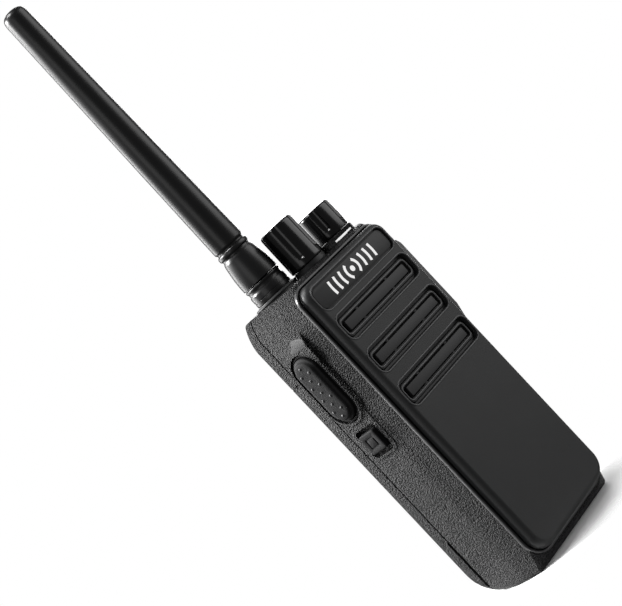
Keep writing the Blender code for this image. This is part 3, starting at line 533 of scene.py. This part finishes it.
def cut_housing_openings(housing):
    cut(housing, loft("seam_groove", [panel_ring(3.0, -0.45), panel_ring(5.0, -0.45)]))
    cut(housing, loft("hollow", [shell_ring(d, inset=1.8) for d in (5.8, 8.0, 32.0)]))
    cut(housing, slab("speaker_hole", circle(17.4, (0, SLOTS[1]), 48), "Y", 3.0, 7.0))
    for label, (x, depth), radius in (
        ("antenna_hole", ANTENNA, 4.3),
        ("volume_hole", (VOLUME_X, KNOB_DEPTH), 3.8),
        ("channel_hole", (CHANNEL_X, KNOB_DEPTH), 3.8),
    ):
        cut(housing, slab(label, circle(radius, (x, depth), 48), "Z", 116.0, 126.0))
    cut(housing, box("light_slot", (LIGHT_X - 4.8, 5.0, 121.7), (LIGHT_X + 4.8, 8.0, 122.6)))
    cut(housing, box("light_shaft", (10.3, 6.6, 116.0), (15.5, 8.0, 122.1)))
    cut(housing, slab("talk_hole", rounded(14.4, 28.9, 7.1, TALK_KEY, 16), "X", -28.0, -21.0))
    cut(housing, slab("monitor_well", rounded(11.0, 11.0, 1.6, MONITOR_KEY), "X", -28.0, -24.5))
    cut(housing, slab("monitor_hole", rounded(9.1, 8.3, 1.0, MONITOR_KEY), "X", -28.0, -21.0))
    for number, height in enumerate((98.0, 86.0), 1):
        cut(housing, slab(f"socket_hole_{number}", circle(2.4, (11.6, height), 32), "X", 21.0, 28.0))
    cut(housing, slab("screw_hole", circle(1.3, (21.6, 91.0), 24), "X", 21.0, 27.0))


def build_housing():
    rings = [shell_ring(4.0, inset=0.3), shell_ring(4.08, inset=0.12), shell_ring(4.25, inset=0.02)]
    front = (4.5, 4.9, 5.4, 5.9, 6.4, 6.8, 7.1, 7.6, 10.0, 13.5, 14.0, 14.5)
    behind = (20.0, 22.0, 24.0, 26.0, 28.0, 29.8)
    rings += [shell_ring(depth) for depth in front + behind]
    rings += [shell_ring(29.95, inset=0.08), shell_ring(PACK_DEPTH, inset=0.2)]
    housing = loft("housing_skin", rings, "grained_black")
    add_plinth(housing)
    add_key_bank(housing)
    cut_housing_openings(housing)
    settle(housing, 0.3, 3, 28.0)
    stand_for(housing, "radio", "grained_black", "main_housing")


def build_ramp_face():
    """The smooth facet on the ramp above the talk key, which leans back as it rises."""
    corners = [
        (13.3, 104.8), (21.0, 105.1), (21.3, 105.6), (18.7, 108.3),
        (17.9, 108.7), (13.9, 107.6), (12.9, 106.8), (12.9, 105.2),
    ]
    middle = (17.5, 107.0)
    facet = []
    for lift, spread in ((0.06, 0.0), (0.04, 0.12), (-0.3, 0.12)):
        ring = []
        for depth, height in corners:
            depth += spread * (1 if depth > middle[0] else -1)
            height += spread * (1 if height > middle[1] else -1)
            ring.append((RAMP_TOP_X + (height - RAMP_LOW) * 1.25 / 4.6 - lift, depth, height))
        facet.append(ring)
    face = loft("ramp_face", facet, "ramp_black")
    stand_for(settle(face), "radio", "grained_black")


def bead(name, outer, inner, low, high, finish, body, slot):
    """A narrow raised band between two outlines, rounded on top."""
    band = slab(name, outer, "Y", low, high, finish)
    cut(band, slab(name + "_hole", inner, "Y", low - 1, high + 1))
    settle(band, 0.2, 3, 30.0)
    return stand_for(band, body, slot)


def build_lip():
    """The smooth lip round the front panel's seam, in a lighter black that paints a highlight line
    along it.
    """
    outer = [(x, z) for x, _, z in panel_ring(0, -1.25)]
    inner = [(x, z) for x, _, z in panel_ring(0, -0.42)]
    bead("panel_lip", outer, inner, 3.72, 5.0, "lip_highlight_black", "radio", "grained_black")


def build_panel():
    edge = 2.4
    rings = [panel_ring(3.9, 0.15), panel_ring(3.8, 0.02)]
    for angle in arc_steps(0, 90, 12):
        turn = math.radians(angle)
        rings.append(panel_ring(edge * (1 - math.sin(turn)), 2.2 * (1 - math.cos(turn))))
    panel = loft("panel_skin", rings, "satin_black")
    cut(panel, loft("panel_hollow", [panel_ring(1.7, 1.7), panel_ring(5.0, 1.7)]))
    cut(panel, slab("plate_recess", rounded(42.5, 8.8, 2.8, (0, PLATE_CENTRE)), "Y", -1.0, 1.1))
    steps = (
        (42.5, 9.4, 2.7, -0.3),
        (42.1, 9.0, 2.5, 1.9),
        (40.9, 7.8, 2.0, 1.9),
        (39.9, 6.8, 1.6, 1.05),
    )
    for number, height in enumerate(SLOTS, 1):
        dish = []
        for width, tall, radius, level in steps:
            dish.append(on_plane("Y", rounded(width, tall, radius, (0, height)), level))
        cut(panel, loft(f"slot_dish_{number}", dish))
        cut(panel, slab(f"slot_mouth_{number}", rounded(38.8, 5.0, 1.2, (0, height)), "Y", -1.0, 3.0))
    settle(panel, 0.2, 3, 25.0)
    even = panel.modifiers.new("even_shading", "WEIGHTED_NORMAL")
    even.keep_sharp = True
    # The beads take the lighter rim finish: a painted highlight along the slot and plate edges.
    for number, height in enumerate(SLOTS, 1):
        outer, inner = rounded(43.7, 10.6, 3.3, (0, height)), rounded(42.6, 9.5, 2.75, (0, height))
        bead(f"slot_lip_{number}", outer, inner, -0.22, 0.4, "rim_highlight_grey", "radio", "satin_black")
        outer, inner = rounded(40.1, 6.3, 1.8, (0, height)), rounded(38.9, 5.1, 1.25, (0, height))
        bead(f"mouth_lip_{number}", outer, inner, 0.9, 1.5, "rim_highlight_grey", "radio", "satin_black")
    outer = rounded(43.6, 9.9, 3.3, (0, PLATE_CENTRE))
    inner = rounded(42.6, 8.9, 2.85, (0, PLATE_CENTRE))
    bead("plate_lip", outer, inner, -0.18, 0.4, "rim_highlight_grey", "radio", "satin_black")
    stand_for(panel, "radio", "satin_black", "front_panel")


def wave_edge(side, radius, angles):
    return [(side * radius * math.cos(a), PLATE_CENTRE + radius * math.sin(a)) for a in angles]


def build_motif():
    """A plain motif of waves on both sides of a dot, raised on the name plate."""
    low, high, half_height, half_line = 0.4, 0.55, 2.5, 0.5
    # The white motif takes a painted glow from its finish.
    motif = slab("wave_dot", circle(1.0, (0, PLATE_CENTRE), 40), "Y", low, high, "light_white")
    for number, radius in enumerate((3.2, 6.2, 9.2, 12.2), 1):
        reach = math.asin(half_height / radius)
        angles = [(-reach + 2 * reach * i / 16) for i in range(17)]
        for side in (-1, 1):
            outer = wave_edge(side, radius + half_line, angles)
            inner = wave_edge(side, radius - half_line, angles[::-1])
            add(motif, slab(f"wave_{number}_{side}", outer + inner, "Y", low, high))
    settle(motif)
    stand_for(motif, "radio", "light_white")


def build_front_inserts():
    outline = rounded(41.3, 7.6, 2.2, (0, PLATE_CENTRE))
    plate = slab("plate_skin", outline, "Y", 0.5, 1.05, "satin_black")
    settle(plate, 0.12, 2)
    stand_for(plate, "radio", "gloss_black", "name_plate")
    build_motif()
    grille = slab("grille_skin", rounded(42.6, 44.6, 2.0, (0, SLOTS[1])), "Y", 2.0, 2.8, "louvre_grey")
    for number, height in enumerate(SLOTS, 1):
        cut(grille, slab(f"window_{number}", rounded(38.2, 4.6, 1.0, (0, height)), "Y", 1.0, 4.0))
    for label, x in (("left", -9.0), ("right", 9.0)):
        add(grille, box(f"rib_{label}", (x - 0.6, 2.1, 66.0), (x + 0.6, 2.7, 106.0)))
    for number, height in enumerate(SLOTS, 1):
        add(grille, slab(f"bar_{number}", rounded(35.8, 3.4, 0.5, (0, height)), "Y", 0.9, 2.6))
    settle(grille, 0.18, 2)
    stand_for(grille, "radio", "louvre_grey", "grille_insert")


# ---------------------------------------------------------------- controls


def knob(label, x, low, high, body):
    """A cap with finger flutes that end in a crescent above a plain skirt."""
    r = KNOB_RADIUS
    profile = [
        (0, high + 0.15), (2.0, high + 0.13), (4.0, high + 0.05), (r - 1.0, high - 0.12),
        (r - 0.55, high - 0.35), (r - 0.28, high - 0.75), (r - 0.18, high - 1.3),
        (r - 0.02, low + 1.4), (r, low + 0.5), (r - 0.1, low + 0.15), (r - 0.4, low), (4.9, low),
        (4.9, low + 1.6), (2.3, low + 1.6), (2.3, high - 4.0), (0, high - 4.0),
    ]
    cap = turned(f"{label}_cap", profile, (x, KNOB_DEPTH, 0), "knob_black", steps=120)
    flute = [
        (0.3, 2.2, low + 1.7), (1.5, 1.9, low + 2.0), (2.1, 1.65, low + 2.6),
        (2.35, 1.53, low + 3.4), (2.4, 1.5, low + 4.4), (2.4, 1.5, high + 2.0),
    ]
    for number in range(5):
        angle = 2 * math.pi * number / 5 - math.radians(135)
        rings = []
        for radius, reach, level in flute:
            centre = (x + (r + reach) * math.cos(angle), KNOB_DEPTH + (r + reach) * math.sin(angle))
            rings.append(on_plane("Z", circle(radius, centre, 40), level))
        cut(cap, loft(f"{label}_flute_{number}", rings))
    settle(cap, 0.16, 3, 30.0)
    stand_for(cap, body, "knob_black", f"{label}_knob")


def build_top():
    knob("volume", VOLUME_X, 123.4, 139.9, "volume_control")
    knob("channel", CHANNEL_X, 124.0, 135.3, "channel_control")
    collar = [
        (4.6, 124.2), (4.6, 123.32), (6.0, 123.32), (6.2, 123.2), (6.25, 122.9), (6.2, 121.5),
        (5.0, 121.5), (5.0, 123.2), (3.6, 123.2), (3.6, 124.2),
    ]
    disc = turned("collar_skin", collar, (VOLUME_X, KNOB_DEPTH, 0), "satin_black")
    stand_for(settle(disc), "radio", "satin_black", "volume_collar")
    # The light pipe takes the same painted glow.
    pipe = box("light_skin", (LIGHT_X - 4.6, 6.45, 121.85), (LIGHT_X + 4.6, 7.7, 122.45), "light_white")
    add(pipe, box("light_leg", (10.6, 6.9, 110.6), (15.2, 7.6, 122.1)))
    settle(pipe, 0.08, 2)
    stand_for(pipe, "radio", "light_white", "status_light_pipe")


def build_antenna():
    centre = (*ANTENNA, 0)
    flange = [
        (6.3, 123.9), (6.3, 123.3), (7.5, 123.3), (7.6, 123.1), (8.3, 123.06), (8.7, 122.9),
        (8.8, 122.6), (8.7, 122.35), (8.45, 122.28), (8.45, 122.08), (8.7, 122.0), (8.78, 121.8),
        (8.75, 120.6), (5.2, 120.6), (5.2, 123.9),
    ]
    skin = turned("flange_skin", flange, centre, "satin_black", steps=128)
    stand_for(settle(skin), "radio", "satin_black", "antenna_flange")
    base = [
        (0, 136.0), (3.0, 136.0), (3.0, 130.1), (6.6, 130.1), (6.8, 129.95), (7.1, 129.75),
        (7.2, 129.5), (7.16, 129.2), (6.85, 128.8), (6.78, 128.3), (6.85, 127.7), (7.16, 127.3),
        (7.22, 127.0), (7.22, 125.3), (7.1, 125.2), (7.1, 124.9), (7.22, 124.8), (7.22, 123.8),
        (7.1, 123.4), (6.6, 123.35), (6.6, 124.2), (3.5, 124.2), (3.5, 126.8), (0, 126.8),
    ]
    skin = turned("base_skin", base, centre, "antenna_black", steps=128)
    stand_for(settle(skin), "antenna", "gloss_black", "antenna_base")
    tip = 249.9
    sheath = [
        (0, tip), (1.4, tip - 0.08), (2.6, tip - 0.35), (3.5, tip - 0.8), (4.1, tip - 1.4),
        (4.42, tip - 2.2), (4.55, tip - 3.4), (4.7, 229.4), (5.0, 212.0), (5.3, 193.0),
        (5.6, 172.0), (5.86, 154.0), (6.0, 147.2), (6.02, 146.1), (5.9, 145.5), (5.6, 145.25),
        (5.45, 145.0), (5.5, 144.6), (5.9, 144.35), (6.15, 144.0), (6.22, 143.4), (6.15, 142.9),
        (5.95, 142.6), (5.66, 142.4), (5.6, 142.0), (5.7, 141.7), (6.0, 141.3), (6.25, 140.4),
        (6.42, 139.4), (6.74, 137.4), (7.05, 135.2), (7.2, 132.6), (7.24, 130.8), (7.2, 130.35),
        (7.0, 130.18), (3.4, 130.15), (3.4, 137.0), (2.6, 137.0), (2.6, 232.0), (0, 232.8),
    ]
    skin = turned("sheath_skin", sheath, centre, "antenna_black", steps=128)
    stand_for(settle(skin), "antenna", "rubber_black", "antenna_sheath")


# ---------------------------------------------------------------- sides


def key_rings(levels, width, height, radius, centre_height, steps=12):
    """Outlines of a side key, one for each (level, inset) pair."""
    rings = []
    for level, inset in levels:
        wide, tall = width - 2 * inset, height - 2 * inset
        outline = rounded(wide, tall, radius - inset, (KEY_DEPTH, centre_height), steps)
        rings.append(on_plane("X", outline, level))
    return rings


def build_talk_key():
    side = -HALF_WIDTH
    ring = [(side + 1.8, 0.0), (side - 0.1, 0.0), (side - 0.25, 0.1), (side - 0.3, 0.3)]
    surround = loft("surround_skin", key_rings(ring, 13.8, 28.2, 6.8, TALK_CENTRE, 20), "key_black")
    cut(surround, slab("surround_bore", rounded(11.8, 26.6, 5.8, TALK_KEY, 20), "X", -29.0, -21.0))
    settle(surround, 0.1, 2)
    stand_for(surround, "radio", "rubber_black", "talk_surround")
    body = [
        (-23.0, 0.0), (-26.3, 0.0), (-26.55, 0.06), (-26.7, 0.25), (-26.78, 0.55), (-27.0, 0.85),
        (-27.35, 0.98), (-27.65, 1.15), (-27.85, 1.5), (-27.96, 2.0), (-28.0, 2.6),
    ]
    talk = loft("talk_skin", key_rings(body, 11.2, 26.0, 5.55, TALK_CENTRE, 20), "key_black")
    flange = [(-23.3, -0.8), (-22.5, -0.8)]
    add(talk, loft("talk_flange", key_rings(flange, 11.2, 26.0, 5.5, TALK_CENTRE, 20)))
    settle(talk)
    stand_for(talk, "talk", "rubber_black", "talk_key")


def build_talk_dots():
    """Thirteen raised dots: a middle row of five between two rows of four, half a pitch away."""
    pitch, side_row = 5.1, 2.35
    dome = [
        (0, -0.34), (0.22, -0.32), (0.4, -0.24), (0.52, -0.1), (0.56, 0.05), (0.56, 0.25), (0, 0.25),
    ]
    dots = [(0.0, TALK_CENTRE + pitch * k) for k in (-2, -1, 0, 1, 2)]
    for row in (-side_row, side_row):
        dots += [(row, TALK_CENTRE + pitch * (k + 0.5)) for k in (-2, -1, 0, 1)]
    for number, (offset, height) in enumerate(dots, 1):
        centre = (-28.0, KEY_DEPTH + offset, height)
        # The dots take the lighter lip finish: a painted highlight on each dot.
        dot = turned(f"talk_dot_{number}", dome, centre, "lip_highlight_black", "X", 24)
        stand_for(settle(dot), "talk", "rubber_black")


def build_monitor_key():
    cap = [(-23.0, 0.0), (-26.4, 0.0), (-26.65, 0.08), (-26.78, 0.28), (-26.82, 0.6)]
    monitor = loft("monitor_skin", key_rings(cap, 8.5, 7.7, 0.9, MONITOR_CENTRE), "key_black")
    flange = [(-23.3, 0.0), (-22.5, 0.0)]
    add(monitor, loft("monitor_flange", key_rings(flange, 10.4, 9.6, 0.8, MONITOR_CENTRE)))
    cut(monitor, slab("mark_outer", rounded(4.6, 4.0, 0.5, MONITOR_KEY), "X", -27.2, -26.55))
    add(monitor, slab("mark_inner", rounded(3.4, 2.8, 0.3, MONITOR_KEY), "X", -26.85, -26.3))
    settle(monitor, 0.08, 2)
    stand_for(monitor, "monitor", "satin_black", "monitor_key")


def build_cover():
    outline = [
        (25.7, 71.4), (26.4, 71.4), (27.6, 73.0), (29.2, 78.8), (29.2, 106.8), (28.3, 108.7),
        (27.0, 109.2), (25.7, 109.2),
    ]
    cover = slab("cover_skin", outline, "Y", 5.6, 16.4, "rubber_black")
    settle(cover, 0.9, 4, 20.0)
    tongue = box("tongue_skin", (26.2, 15.4, 86.0), (27.2, 17.6, 96.0), "rubber_black")
    settle(tongue, 0.2, 2)
    stand_for(cover, "cover", "rubber_black", "socket_cover")
    stand_for(tongue, "cover", "rubber_black")


# ---------------------------------------------------------------- back


FRONT_EDGE = ((30.3, 0.15), (30.4, 0.02))


def back_depths(corner, start, step):
    """Depths that follow the round of the back's edge, from a start angle to its flat."""
    return [BODY_DEPTH - corner * (1 - math.sin(math.radians(a))) for a in range(start, 91, step)]


def build_upper_back():
    depths = [31.0, 32.4] + back_depths(HEAD_CORNER, 10, 10)
    rings = [shell_ring(depth, low=COVER_FOOT, inset=inset) for depth, inset in FRONT_EDGE]
    rings += [shell_ring(depth, low=COVER_FOOT) for depth in depths]
    cover = loft("upper_back_skin", rings, "grained_black")
    hollow = [shell_ring(depth, low=98.2, inset=1.6) for depth in (29.0, 32.4, 35.0, 36.4)]
    cut(cover, loft("cover_hollow", hollow))
    cut(cover, slab("latch_window", rounded(12.6, 9.0, 1.0, (0, 104.0)), "Y", 35.0, 40.0))
    for label, x in (("left", -15.0), ("right", 15.0)):
        cut(cover, slab(f"seat_{label}", circle(2.4, (x, 106.0), 32), "Y", 37.2, 40.0))
        cut(cover, slab(f"bore_{label}", circle(1.4, (x, 106.0), 32), "Y", 35.0, 38.0))
    settle(cover, 0.25, 3, 30.0)
    stand_for(cover, "radio", "grained_black", "upper_back_cover")


def build_battery_case():
    depths = [30.9, 31.5] + back_depths(7.0, 8, 8) + [BODY_DEPTH]
    rings = [shell_ring(depth, high=PACK_HEIGHT, inset=inset) for depth, inset in FRONT_EDGE]
    rings += [shell_ring(depth, high=PACK_HEIGHT) for depth in depths]
    case = loft("pack_skin", rings, "grained_black")
    hollow = [shell_ring(depth, high=94.6, inset=1.4) for depth in (29.0, 33.0, 35.0, 36.8)]
    cut(case, loft("case_hollow", hollow))
    for label, sign in (("left", -1), ("right", 1)):
        x = sign * HALF_WIDTH
        cut(case, box(f"guide_{label}", (x - 0.8, 29.0, 4.3), (x + 0.8, 31.1, 24.4)))
        cut(case, slab(f"clip_hole_{label}", circle(1.4, (sign * 5.2, 75.4), 24), "Y", 36.0, 40.0))
    settle(case, 0.25, 3, 30.0)
    stand_for(case, "battery", "grained_black", "battery_case")


# ---------------------------------------------------------------- the CAD's own pieces


def soften(item, width):
    """Join the CAD mesh's faces and round its sharp edges."""
    weld = item.modifiers.new("weld", "WELD")
    weld.merge_threshold = 1e-6
    flat = item.modifiers.new("flat", "DECIMATE")
    flat.decimate_type = "DISSOLVE"
    flat.angle_limit = math.radians(0.5)
    soft = item.modifiers.new("soft_edges", "BEVEL")
    soft.width = width * MM
    soft.segments = 3
    soft.limit_method = "ANGLE"
    soft.angle_limit = math.radians(30)


def dress_nodes():
    """The other CAD nodes keep their shapes and take the finishes, a few with soft edges."""
    edges = {"belt_clip": 0.35, "clip_bracket": 0.2, "battery_latch": 0.2, "cover_anchor": 0.2}
    slot_of = {part["node"]: part["material_slot"] for part in frame["record"]["subparts"]}
    for node, item in frame["nodes"].items():
        item.data.materials.clear()
        item.data.materials.append(FINISHES[slot_of[node]])
        if node in edges:
            soften(item, edges[node])


# ---------------------------------------------------------------- studio


def build_floor():
    """A pale floor that fades into the white backdrop."""
    mesh = bpy.data.meshes.new("floor")
    reach = 0.6
    corners = [(-reach, -reach, 0), (reach, -reach, 0), (reach, reach, 0), (-reach, reach, 0)]
    mesh.from_pydata(corners, [], [(0, 1, 2, 3)])
    floor = bpy.data.objects.new("floor", mesh)
    bpy.context.scene.collection.objects.link(floor)
    material, tree, shader = base_material("floor_white", (0.9, 0.9, 0.9), 0.8)
    place = tree.nodes.new("ShaderNodeTexCoord")
    distance = tree.nodes.new("ShaderNodeVectorMath")
    distance.operation = "LENGTH"
    tree.links.new(place.outputs["Object"], distance.inputs[0])
    fade = tree.nodes.new("ShaderNodeMapRange")
    fade.interpolation_type = "SMOOTHSTEP"
    fade.inputs["From Min"].default_value = 0.027
    fade.inputs["From Max"].default_value = 0.044
    fade.inputs["To Min"].default_value = 1.0
    fade.inputs["To Max"].default_value = 0.0
    tree.links.new(distance.outputs["Value"], fade.inputs["Value"])
    clear = tree.nodes.new("ShaderNodeBsdfTransparent")
    mix = tree.nodes.new("ShaderNodeMixShader")
    output = tree.nodes["Material Output"]
    tree.links.new(fade.outputs["Result"], mix.inputs["Fac"])
    tree.links.new(clear.outputs["BSDF"], mix.inputs[1])
    tree.links.new(shader.outputs["BSDF"], mix.inputs[2])
    tree.links.new(mix.outputs["Shader"], output.inputs["Surface"])
    floor.data.materials.append(material)


def area_light(name, position, target, size, power):
    light = bpy.data.lights.new(name, "AREA")
    light.shape = "RECTANGLE"
    light.size, light.size_y = size
    light.energy = power
    lamp = bpy.data.objects.new(name, light)
    bpy.context.scene.collection.objects.link(lamp)
    lamp.location = position
    lamp.rotation_euler = (Vector(target) - Vector(position)).to_track_quat("-Z", "Y").to_euler()


def build_backdrop():
    """A plain white surround that only the camera sees, so it adds nothing to the light."""
    bm = bmesh.new()
    bmesh.ops.create_icosphere(bm, subdivisions=4, radius=6.0)
    mesh = bpy.data.meshes.new("backdrop")
    bm.to_mesh(mesh)
    bm.free()
    surround = bpy.data.objects.new("backdrop", mesh)
    bpy.context.scene.collection.objects.link(surround)
    material = bpy.data.materials.new("backdrop_white")
    material.use_nodes = True
    tree = material.node_tree
    glow = tree.nodes.new("ShaderNodeEmission")
    glow.inputs["Color"].default_value = (1.0, 1.0, 1.0, 1.0)
    tree.links.new(glow.outputs["Emission"], tree.nodes["Material Output"].inputs["Surface"])
    mesh.materials.append(material)
    for ray in ("diffuse", "glossy", "transmission", "volume_scatter", "shadow"):
        setattr(surround, f"visible_{ray}", False)


def build_studio():
    world = bpy.data.worlds.new("studio")
    world.use_nodes = True
    world.node_tree.nodes["Background"].inputs["Color"].default_value = (1.0, 1.0, 1.0, 1.0)
    world.node_tree.nodes["Background"].inputs["Strength"].default_value = 0.13
    scene = bpy.context.scene
    scene.world = world
    scene.view_settings.view_transform = "Standard"
    aim = (0, 0, 0.09)
    for name, position, size, power in (
        ("rear_box", (-0.2, 1.07, 0.2), (0.25, 0.9), 6.5),
        ("left_rear_box", (-0.52, 0.96, 0.2), (0.4, 0.9), 3.9),
        ("right_rear_box", (0.85, 0.65, 0.25), (0.6, 0.9), 12.0),
        ("left_front_box", (-0.95, -0.3, 0.2), (0.5, 0.8), 1.2),
        ("shoulder_box", (-0.52, 0.75, 0.72), (0.25, 0.2), 22.0),
        ("right_front_box", (0.9, -0.85, 0.45), (1.0, 1.2), 8.0),
        ("top_box", (-0.25, 0.12, 1.0), (0.4, 0.25), 8.0),
    ):
        area_light(name, position, aim, size, power)


def build_camera():
    """A camera at the front left, rolled so that the antenna leans to the upper left."""
    turn, tip, roll = math.radians(40.57), math.radians(1.54), math.radians(-1.165)
    ahead = Vector((math.sin(turn) * math.cos(tip), math.cos(turn) * math.cos(tip), -math.sin(tip)))
    right = Vector((math.cos(turn), -math.sin(turn), 0.0))
    up = right.cross(ahead)
    level_right = right * math.cos(roll) + up * math.sin(roll)
    level_up = up * math.cos(roll) - right * math.sin(roll)
    tilt = math.radians(42.0)
    right = level_right * math.cos(tilt) - level_up * math.sin(tilt)
    up = level_right * math.sin(tilt) + level_up * math.cos(tilt)
    data = bpy.data.cameras.new("camera")
    data.lens = 94.2
    data.sensor_width = 36.0
    data.sensor_fit = "HORIZONTAL"
    data.clip_start = 0.01
    camera = bpy.data.objects.new("camera", data)
    bpy.context.scene.collection.objects.link(camera)
    matrix = Matrix((right, up, -ahead)).transposed().to_4x4()
    matrix.translation = to_world(-357.0, -389.5, 127.5)
    camera.matrix_world = matrix
    bpy.context.scene.camera = camera


build_housing()
build_ramp_face()
build_lip()
build_panel()
build_front_inserts()
build_top()
build_antenna()
build_talk_key()
build_talk_dots()
build_monitor_key()
build_cover()
build_upper_back()
build_battery_case()
for helper in HELPERS:
    bpy.data.objects.remove(helper, do_unlink=True)
dress_nodes()
build_floor()
build_backdrop()
build_studio()
build_camera()
bpy.context.view_layer.update()
